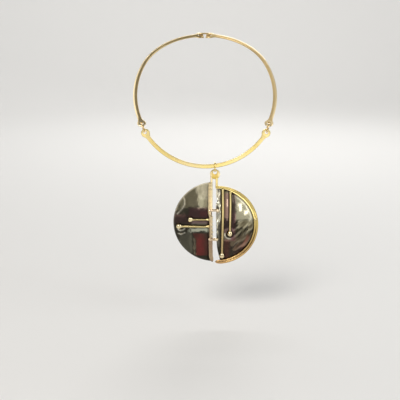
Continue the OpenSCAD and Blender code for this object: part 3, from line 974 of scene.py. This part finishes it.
def leg(name, material, x0, x1, foot_z):
    """One of the two legs of the pendant's eye, on either side of the slit."""
    length = LEG_TOP - foot_z

    def path(u):
        z = foot_z + length * u
        return hung((x0 + x1) / 2 + 0.05 * np.sin(6 * u), 0 * z, z)

    def size(u):
        grow = rounded_end(np.minimum(u, 1 - u) * length, 0.35) * (1 + 0.04 * np.sin(9 * u + x0))
        return (x1 - x0) / 2 * grow, LEG_HALF_T * grow

    obj = tube(name, 40, 24, path, size, square=2.8)
    z = unhung(obj)[2]
    # Painted highlight up the leg, and painted shade at its foot where it meets the half disc
    paint(obj, worn=0.3 * ease(z, foot_z, foot_z + 3), stained=0.4 * (1 - ease(z, foot_z, foot_z + 1.5)))
    frame_brass(obj, material)


# The strip along the slit: height, left side, right side
STRIP = np.array([
    (-86.8, -2.6, -0.8),
    (-84.5, -4.4, -0.9),
    (-81.0, -5.4, -1.4),
    (-74.0, -5.5, -1.6),
    (-66.0, -5.7, -1.8),
    (-63.0, -5.2, -2.0),
    (-57.0, -5.3, -1.9),
    (-51.0, -5.0, -2.1),
    (-46.0, -5.3, -1.9),
    (-42.6, -5.3, -2.0),
    (-40.6, -5.7, -2.8),
    (-38.2, -6.4, -3.3),
    (-36.0, -6.5, -2.8),
    (-34.2, -6.4, -2.1),
    (-30.0, -6.3, -2.1),
    (-20.0, -6.4, -2.0),
    (-9.6, -6.2, -2.0),
])
# Heights of the melted knobs on its right side
KNOBS = [-36.4, -42.6, -46.8, -50.2, -53.6, -57.0, -61.0]


def slit_strip():
    """The long strip on the left of the slit, with a wire along its left side and knobs along its right."""
    z0, z1 = STRIP[0, 0], STRIP[-1, 0]

    def knobs(z):
        return sum(bell(z - at, 0.85) for at in KNOBS)

    def sides(z):
        left = np.interp(z, STRIP[:, 0], STRIP[:, 1]) + 0.08 * ripple(z, 0 * z, 9, 3)
        low = ease(-z, 36, 42)
        right = np.interp(z, STRIP[:, 0], STRIP[:, 2]) + (0.05 + 0.08 * low) * ripple(z, 0 * z + 3, 5.0, 5)
        return left, right + 0.52 * (knobs(z) - 0.35) * low

    def behind(z):
        return dome(0 * z, z, *LEFT_DISC) + GAP

    def path(u):
        z = z0 + (z1 - z0) * u
        left, right = sides(z)
        return hung((left + right) / 2, behind(z) + 0.66 + 0.05 * ripple(z, 0 * z, 9, 6), z)

    def size(u):
        z = z0 + (z1 - z0) * u
        left, right = sides(z)
        grow = rounded_end(np.minimum(u, 1 - u) * (z1 - z0), 0.6)
        pinch = bell(z + 39.4, 1.6)
        return (right - left) / 2 * grow, (0.62 + 0.06 * ripple(z, 0 * z + 1, 7, 7) - 0.14 * pinch) * grow

    obj = tube("slit_strip_brass", 360, 48, path, size, square=3.2)
    x, n, z = unhung(obj)
    left, right = sides(z)
    across = (x - left) / (right - left)
    top = ease(n - behind(z), 0.5, 1.1)
    high = ease(z, -40, -36)
    low_stretch = ease(z, -66, -63) - ease(z, -50, -46)
    ridge = bell(across - 0.16, 0.12) * (0.35 + 0.65 * high)
    wide = 3.6 * across
    knot = bell(away(wide, z, (0.8, -39.2)), 1.0) + bell(away(wide, z, (2.2, -42.6)), 1.2)
    n = n + 0.22 * top * knot
    n = n + 0.2 * top * bell(across - 0.45, 0.2) * low_stretch
    n = n + top * (0.24 * ridge - 0.10 * bell(across - 0.55, 0.22)
                   + 0.22 * knobs(z) * ease(across, 0.3, 0.9) * (1 - high))
    hang(obj, x, n, z)
    smooth(obj)
    # Painted highlights on the ridge, the low wire, the knobs, the right edge and the knot, and painted shade
    # in the grooves, along each side, down the left side low down and in the knot
    low_wire = bell(across - 0.45, 0.16) * low_stretch
    knob_light = knobs(z) * ease(across, 0.55, 0.85) * (1 - high)
    right_edge = 0.75 * ease(across, 0.60, 0.80) * high
    groove = bell(across - 0.36, 0.07) * (0.3 + 0.2 * high)
    edges = 1 - ease(np.minimum(across, 1.02 - across), 0.0, 0.07)
    knot_groove = 0.75 * bell(near_line(wide, z, [(0.4, -37.6), (1.6, -40.4), (2.9, -41.0)]), 0.45)
    dark_side = 1 - ease(across, 0.10 * high + 0.05, 0.40 - 0.14 * high)
    dark_side = (0.36 - 0.10 * high) * dark_side * ease(z, -66, -62)
    pale = top * most(0.5 * ridge * high, 0.7 * low_wire, 0.95 * knob_light, right_edge, 0.7 * knot)
    dark = most(groove * top, 0.55 * edges * (1 - 0.6 * high), dark_side, knot_groove) * (1 - knob_light)
    paint(obj, worn=pale, stained=dark)
    frame_brass(obj, STRIP_BRASS)


def rim_band():
    """Two strands side by side round the right half, soldered at its side."""
    back = float(dome(RIGHT_C[0] + RIM_IN_R, RIGHT_C[1], *RIGHT_DISC)) + GAP

    def strands(a):
        """How far across the band its two strands lie."""
        low = ease(-a, -0.35, 0.3)
        return (1.20 - 0.17 * low + 0.05 * ripple(30 * a, 0 * a, 14, 2),
                3.05 + 0.10 * low + 0.04 * ripple(30 * a, 0 * a, 13, 4))

    def strand_back(d, half_w):
        """A strand's rounded back, from 0 at its sides to 1 in its middle."""
        return np.cbrt(np.clip(1 - np.abs(d / half_w) ** 3, 0, 1))

    def slim(a):
        """The band narrows towards its upper end, and keeps its outer edge."""
        return 1 - 0.40 * ease(a, 0.85, 1.5)

    def solder(a, q):
        """The drop of solder between the strands, at the right."""
        return bell((a - 0.181) * 35.9, 1.0) * bell(q - 1.9, 1.0)

    def front(a, q):
        """Height of the band over its back: a runs round it, and q across it from the inside."""
        low = ease(-a, -0.35, 0.3)
        inner_at, outer_at = strands(a)
        inner = (1.75 + 0.15 * low) * strand_back(q - inner_at, 1.25 - 0.23 * low)
        outer = (1.80 - 0.10 * low) * strand_back(q - outer_at, 1.25 - 0.12 * low)
        return np.maximum(np.maximum(inner, outer), 0.35) + 0.8 * solder(a, q)

    def place(u, v):
        a = RIM_HALF_A * (2 * u - 1)
        across = np.where(v < 0.5, 2 * v, 2 - 2 * v)
        q = RIM_W * across
        edge = rounded_end(np.minimum(q, RIM_W - q), 0.3)
        h = np.where(v < 0.5, front(a, q) * (0.35 + 0.65 * edge), 0)
        h = np.where((v == 0) | (v == 1), 0.3, h)
        d_end = RIM_LENGTH * (1 - u)
        d_start = RIM_LENGTH * u
        close = rounded_end(d_end, 0.8) * rounded_end(d_start, 2.0)
        q = RIM_W / 2 + (q - RIM_W / 2) * close * (0.6 + 0.4 * ease(d_start, 0, 6))
        h = 0.7 + (h - 0.7) * close
        q = RIM_W - (RIM_W - q) * slim(a)
        r = RIM_IN_R + q + 0.06 * ripple(40 * a, 0 * a, 15, 8) * close
        x = RIGHT_C[0] + r * np.cos(a)
        z = RIGHT_C[1] + r * np.sin(a)
        return hung(x, back + h, z)

    obj = grid("rim_brass", 420, 80, place)
    weld(obj)
    smooth(obj, 50)
    x, n, z = unhung(obj)
    a = np.arctan2(z - RIGHT_C[1], x - RIGHT_C[0])
    q = RIM_W - (RIM_IN_R + RIM_W - away(x, z, RIGHT_C)) / slim(a)
    inner_at, outer_at = strands(a)
    # Painted shade in the groove between the strands and along the inner side, the outer strand painted
    # darker on the upper right, the outer edge painted darker near the top where it faces up, darker low on
    # the right, a painted highlight along the inner strand, and a paler solder drop
    front_side = ease(n - back, 0.2, 0.6)
    groove = bell(q - (inner_at + outer_at) / 2, 0.28) * (0.22 + 0.7 * (1 - ease(a, 0.1, 0.5)))
    drop = solder(a, q)
    upper_right = ease(a, 0.22, 0.5) * (1 - ease(a, 1.05, 1.25))
    outer = 0.62 * bell(q - outer_at, 1.0) * upper_right
    dim = 0.32 * (1 - ease(a, 0.1, 0.3)) * ease(a, -1.1, -0.5)
    dark = most(0.85 * groove, 0.7 * bell(q, 0.35), outer, dim) * front_side * (1 - 0.9 * drop)
    top_edge = 0.5 * ease(q, RIM_W - 0.9, RIM_W - 0.2) * ease(a, 0.5, 0.9)
    paint(obj, stained=most(dark, top_edge),
          worn=most(0.9 * drop, bell(q - inner_at, 0.8) * 0.35 * ease(a, -0.1, 0.5)))
    frame_brass(obj, PENDANT_BRASS)


def beaded_wire(name, wire, disc, seed, sway, period, rise=0):
    """A wire that lies over a half disc and ends in a bead. It sways a little, and rise bends its root up."""
    r, root, bead = wire
    length = abs(root[0] - bead[0]) + abs(root[1] - bead[1])
    straight = length - BEAD_R - BEAD_NECK

    def along(u):
        """The place along the wire, with more points over its bead."""
        over_bead = straight + (2 * BEAD_R + BEAD_NECK) * np.sin(np.clip((u - 0.7) / 0.3, 0, 1) * np.pi / 2)
        return np.where(u < 0.7, u / 0.7 * straight, over_bead)

    def path(u):
        """A level wire runs to the left from its root, and an upright one down."""
        s = along(u)
        aside = sway * np.sin(s / period)
        x, z = root[0] + aside, root[1] - s
        if root[1] == bead[1]:
            x, z = root[0] - s, root[1] + aside + rise * bell(s, 3.0)
        lift = GAP + 0.05 + r + (BEAD_LIFT - r) * ease(s, length - 5, length - BEAD_R)
        return hung(x, dome(x, z, *disc) + lift, z)

    def size(u):
        s = along(u)
        d = s - length
        ball = ball_width(BEAD_R, d)
        even = r * (1 + 0.006 * ripple(s, 0 * s, 16, seed))
        wide = np.where(d > -1.2, ball, np.maximum(ball, even) + 0.25 * bell(d + BEAD_R, 0.6))
        wide = (wide + 0.35 * bell(s - 1.2, 1.0)) * rounded_end(s, 0.5)
        tall = np.where(d > -BEAD_R, wide * (1 - 0.06 * ease(d, -BEAD_R, -1)), wide)
        return wide, tall

    obj = tube(name, 150, 28, path, size)
    x, n, z = unhung(obj)
    floor = dome(x, z, *disc) + GAP + 0.02
    n = np.maximum(n, floor)
    hang(obj, x, n, z)
    smooth(obj)
    # Painted shade on the underside where the wire nears the half disc, and a painted highlight on the raised
    # front of the bead
    over = n - floor
    on_bead = 1 - ease(away(x, z, bead), BEAD_R, BEAD_R + 1)
    paint(obj, stained=0.9 * (1 - ease(over, 0.25 * r, 0.8 * r)), worn=0.8 * on_bead * ease(over, 0.8, 2.2))
    frame_brass(obj, WIRE_BRASS)


def bridge(name, x0, x1, z, n, r, ball_r, root_r, arch):
    """A short arched wire from the strip over the slit, with melted ends."""
    length = x1 - x0 + 2 * r

    def path(u):
        x = x0 + u * length - r
        return hung(x, n + 0 * x, z + arch * np.sin(np.pi * u) - 0.3 * arch)

    def size(u):
        s = u * length
        d = length - s
        ball = ball_width(ball_r, d - ball_r)
        root = ball_width(root_r, s - root_r)
        grow = np.where(d < ball_r, ball, most(ball, root, r * rounded_end(s, 0.5)))
        return grow, grow

    obj = tube(name, 70, 24, path, size)
    x = unhung(obj)[0]
    # Paler all along, and more so towards the ball end, where a highlight is painted
    paint(obj, worn=0.35 + 0.4 * ease(x, x1 - 3.2, x1 - 1.5))
    frame_brass(obj, BRIDGE_BRASS)


front_bar()
side_bar(LEFT, "left_bar_brass", "left_bar")
side_bar(RIGHT, "right_bar_brass", "right_bar")
link(LEFT, "left_link_brass", "left_link")
link(RIGHT, "right_link_brass", "right_link")
hang_ring()
clasp_hook()
half_disc("left_half_disc", LEFT_DISC, LEFT, left_inner, left_front, left_marks, "left_plate")
half_disc("right_half_disc", RIGHT_DISC, RIGHT, right_inner, right_front, right_marks, "right_plate")
pendant_eye()
leg("left_leg_brass", STRIP_BRASS, x0=-4.2, x1=-2.2, foot_z=-10.2)
leg("right_leg_brass", PENDANT_BRASS, x0=0.5, x1=2.8, foot_z=-14.6)
slit_strip()
rim_band()
beaded_wire("upper_left_wire_brass", UPPER_LEFT_WIRE, LEFT_DISC, seed=1, sway=0.04, period=5)
beaded_wire("lower_left_wire_brass", LOWER_LEFT_WIRE, LEFT_DISC, seed=2, sway=0.04, period=6, rise=0.4)
beaded_wire("long_right_wire_brass", LONG_RIGHT_WIRE, RIGHT_DISC, seed=3, sway=0.25, period=14)
beaded_wire("short_right_wire_brass", SHORT_RIGHT_WIRE, RIGHT_DISC, seed=4, sway=0.15, period=9)
bridge("upper_bridge_brass", x0=-4.2, x1=3.2, z=-36.2, n=2.1, r=1.30, ball_r=1.80, root_r=1.4, arch=0.9)
bridge("lower_bridge_brass", x0=-4.6, x1=2.2, z=-64.3, n=2.20, r=1.40, ball_r=1.65, root_r=1.7, arch=0.3)


# Floor, light and camera, in metres

CAMERA_AT = Vector((-0.00481, -0.74805, 0.02808))
MIDDLE = (0, -0.05, -0.1)
FLOOR_Z = -0.262
FLOOR_R = 1.3
SWEEP_R = 0.9
WALL_H = 1.0


def pale_sweep():
    """A round floor that bends up into a wall on all sides."""
    bend = SWEEP_R * math.pi / 2

    def place(u, v):
        s = u * (FLOOR_R + bend + WALL_H)
        a = np.clip((s - FLOOR_R) / SWEEP_R, 0, math.pi / 2)
        r = np.minimum(s, FLOOR_R) + SWEEP_R * np.sin(a)
        z = FLOOR_Z + SWEEP_R * (1 - np.cos(a)) + np.clip(s - FLOOR_R - bend, 0, None)
        turn = 2 * np.pi * v
        return [r * np.cos(turn) / MM, r * np.sin(turn) / MM, z / MM]

    obj = grid("pale_sweep", 60, 96, place)
    weld(obj)
    smooth(obj, 60)
    mat, t, surface = new_material("pale_sweep")
    t.feed(surface["Base Color"], (0.76, 0.75, 0.73))
    t.feed(surface["Roughness"], 0.9)
    obj.data.materials.append(mat)


def softbox(name, at, aim, width, height, radiance, colour=(1, 1, 1), shines_in=None):
    """A rectangular soft light. With shines_in it only shows in the polish of those pieces."""
    light = bpy.data.lights.new(name, "AREA")
    light.shape = "RECTANGLE"
    light.size = width
    light.size_y = height
    light.energy = radiance * math.pi * width * height
    light.color = colour
    obj = bpy.data.objects.new(name, light)
    bpy.context.scene.collection.objects.link(obj)
    obj.location = at
    obj.rotation_euler = (Vector(aim) - Vector(at)).to_track_quat("-Z", "Y").to_euler()
    obj.visible_camera = False
    if shines_in:
        obj.visible_diffuse = False
        obj.light_linking.receiver_collection = shines_in


def gathered(name, *pieces):
    """A collection that lights can be limited to."""
    collection = bpy.data.collections.new(name)
    for piece in pieces:
        collection.objects.link(bpy.data.objects[piece])
    return collection


def mirrored(x, z, disc):
    """A point of a half disc's dome, and the way that the camera's line of sight leaves it."""
    centre, r = disc
    n = float(dome(x, z, centre, r))
    point = Vector(hung(x, n, z)) * MM
    normal = Vector((x - centre[0], -(n - dome_base(r)), z - centre[1])).normalized()
    sight = (point - CAMERA_AT).normalized()
    return point, sight.reflect(normal)


def glint(disc, name, x0, x1, z0, z1, distance, radiance, colour=(1, 1, 1)):
    """A card that fills this rectangle of a half disc with its reflection."""
    x, z = (x0 + x1) / 2, (z0 + z1) / 2
    eye, way = mirrored(x, z, disc)
    middle = eye + way * distance
    turn = (-way).to_track_quat("-Z", "Y").to_matrix()
    spread = []
    for axis, ends in ((0, ((x0, z), (x1, z))), (1, ((x, z0), (x, z1)))):
        for end in ends:
            point, ray = mirrored(*end, disc)
            hit = point + ray * ((middle - point).dot(way) / ray.dot(way))
            spread.append((hit - middle).dot(turn.col[axis]))
    width, height = abs(spread[1] - spread[0]), abs(spread[3] - spread[2])
    middle = middle + turn.col[0] * (spread[0] + spread[1]) / 2 + turn.col[1] * (spread[2] + spread[3]) / 2
    softbox(name, middle, middle - way, width, height, radiance, colour, HALF_DISCS)


# Cards the half discs mirror: name, left, right, top, bottom in millimetres, distance, radiance, colour
LEFT_CARDS = [
    ("room_glow", -37.5, -15.4, -8.5, -35.3, 0.60, 2.4, (1.0, 0.94, 0.78)),
    ("pale_column", -15.2, -10.6, -23.5, -34.0, 0.58, 4.4, (0.94, 1.0, 0.93)),
    ("pale_top", -16.0, -5.5, -7.0, -34.3, 0.60, 5.8, (1.0, 0.96, 0.82)),
    ("between_wires", -22.0, -7.0, -46.4, -49.4, 0.10, 2.2, (0.85, 1.0, 0.90)),
    ("brown_block", -36.5, -28.5, -40.0, -46.5, 0.40, 1.2, (1.0, 0.82, 0.72)),
    ("low_band", -23.6, -5.0, -53.2, -58.0, 0.19, 9.4, (0.88, 1.0, 1.0)),
    ("low_left", -34.0, -20.6, -58.5, -78.0, 0.10, 0.85, (0.94, 1.0, 0.98)),
    ("low_column", -23.4, -20.9, -60.0, -77.0, 0.08, 0.7, (0.96, 1.0, 0.90)),
    ("low_left_edge", -19.3, -18.3, -65.0, -80.0, 0.075, 2.6, (1.0, 0.90, 0.78)),
]
RIGHT_CARDS = [
    ("window_pane", 19.5, 36.5, -20.0, -45.6, 0.38, 8.5, (0.98, 1.0, 0.90)),
    ("window_left", 22.4, 25.4, -29.6, -36.4, 0.36, 38),
    ("window_right", 28.4, 31.2, -36.0, -39.7, 0.36, 38),
    ("low_pane", 20.6, 36.0, -46.6, -56.6, 0.20, 3.9, (1.0, 0.95, 0.74)),
    ("low_right", 15.5, 35.0, -58.0, -74.0, 0.15, 1.6, (1.0, 0.97, 0.70)),
    ("low_middle", 8.8, 15.5, -57.0, -66.0, 0.16, 2.2, (1.0, 0.94, 0.90)),
    ("strip_light", 15.8, 17.4, -20.8, -29.8, 0.40, 5.0, (0.95, 0.93, 0.90)),
    ("between_glow", 8.6, 12.8, -17.4, -49.0, 0.42, 3.4, (1.0, 0.86, 0.70)),
    ("streak", 11.2, 12.0, -25.5, -32.6, 0.05, 17, (0.95, 1.0, 0.86)),
    ("streak_tail", 10.9, 12.2, -17.5, -46.0, 0.06, 4.0, (1.0, 0.95, 0.88)),
    ("border_light", -1.0, 6.5, -12.0, -57.0, 0.42, 0.42, (0.96, 1.0, 0.92)),
]

pale_sweep()
# Soft lights: name, place, what they aim at, width, height, radiance, colour, what they shine in
softbox("key_softbox", (-0.5, -0.85, 0.75), MIDDLE, 0.55, 0.55, 9, (1.0, 0.97, 0.93))
softbox("fill_softbox", (0.85, -0.35, 0.45), MIDDLE, 0.5, 0.8, 3, (0.96, 0.98, 1.0))
softbox("back_softbox", (0.25, 0.95, 0.55), MIDDLE, 0.7, 0.4, 4)
softbox("wall_light", (0.0, 0.9, 1.3), (0.0, 2.0, -0.1), 1.4, 0.5, 7)
HALF_DISCS = gathered("half_discs", "left_half_disc", "right_half_disc")
RIM = gathered("rim_only", "rim_brass")
FRONT_BAR = gathered("front_bar_only", "front_bar_brass")
RIGHT_BAR = gathered("right_bar_only", "right_bar_brass")
SIDE_BARS = gathered("side_bars_and_hook", "left_bar_brass", "right_bar_brass", "nape_hook_brass")
HANGING = [name for name, body, slot in MADE if slot == "brass" and body != "collar"]
FRONT_BRASS = gathered("front_brass", *HANGING)
SMALL_BRASS = gathered("small_brass", "left_link_brass", "right_link_brass", "pendant_ring_brass")
for disc, cards in ((LEFT_DISC, LEFT_CARDS), (RIGHT_DISC, RIGHT_CARDS)):
    for card in cards:
        glint(disc, *card)
softbox("bar_glow_left", (-0.16, -0.42, -0.19), (-0.04, -0.098, -0.115),
        0.28, 0.13, 0.48, (1.0, 0.97, 0.92), FRONT_BRASS)
softbox("bar_glow_right", (0.14, -0.42, -0.19), (0.02, -0.098, -0.115),
        0.32, 0.13, 0.78, (1.0, 1.0, 0.92), FRONT_BRASS)
softbox("bar_glow_upper", (0.0, -0.42, -0.065), (0.0, -0.098, -0.113),
        0.45, 0.11, 0.6, (1.0, 0.98, 0.92), FRONT_BAR)
softbox("rim_glow", (0.0405, -0.198, -0.1705), (0.035, -0.1, -0.145),
        0.038, 0.040, 1.5, (1.0, 1.0, 0.85), RIM)
softbox("ceiling_right", (0.3, 0.0, 1.1), (0.07, -0.05, -0.02),
        0.8, 1.2, 0.6, (1.0, 0.98, 0.94), RIGHT_BAR)
softbox("left_edge_light", (-0.80, 0.20, 0.62), (-0.06, -0.05, -0.03),
        0.7, 0.8, 1.5, (1.0, 0.98, 0.92), SIDE_BARS)
softbox("right_edge_light", (1.0, 0.25, 0.45), (0.06, -0.05, -0.03),
        0.5, 0.5, 1.8, (1.0, 0.98, 0.95), SIDE_BARS)
softbox("front_glow", (0.0, -1.3, 0.75), MIDDLE, 1.2, 0.5, 1.2, (1.0, 0.97, 0.93), SMALL_BRASS)

world = bpy.data.worlds.new("studio")
world.use_nodes = True
bpy.context.scene.world = world
background = world.node_tree.nodes["Background"]
background.inputs["Color"].default_value = (0.93, 0.96, 1.0, 1)
background.inputs["Strength"].default_value = 0.25
bpy.context.scene.view_settings.view_transform = "Standard"

camera_data = bpy.data.cameras.new("camera")
camera_data.lens = 65
camera_data.sensor_width = 36
camera_data.clip_start = 0.01
camera = bpy.data.objects.new("camera", camera_data)
camera.location = CAMERA_AT
camera.rotation_euler = (math.radians(75), 0, 0)
bpy.context.scene.collection.objects.link(camera)
bpy.context.scene.camera = camera
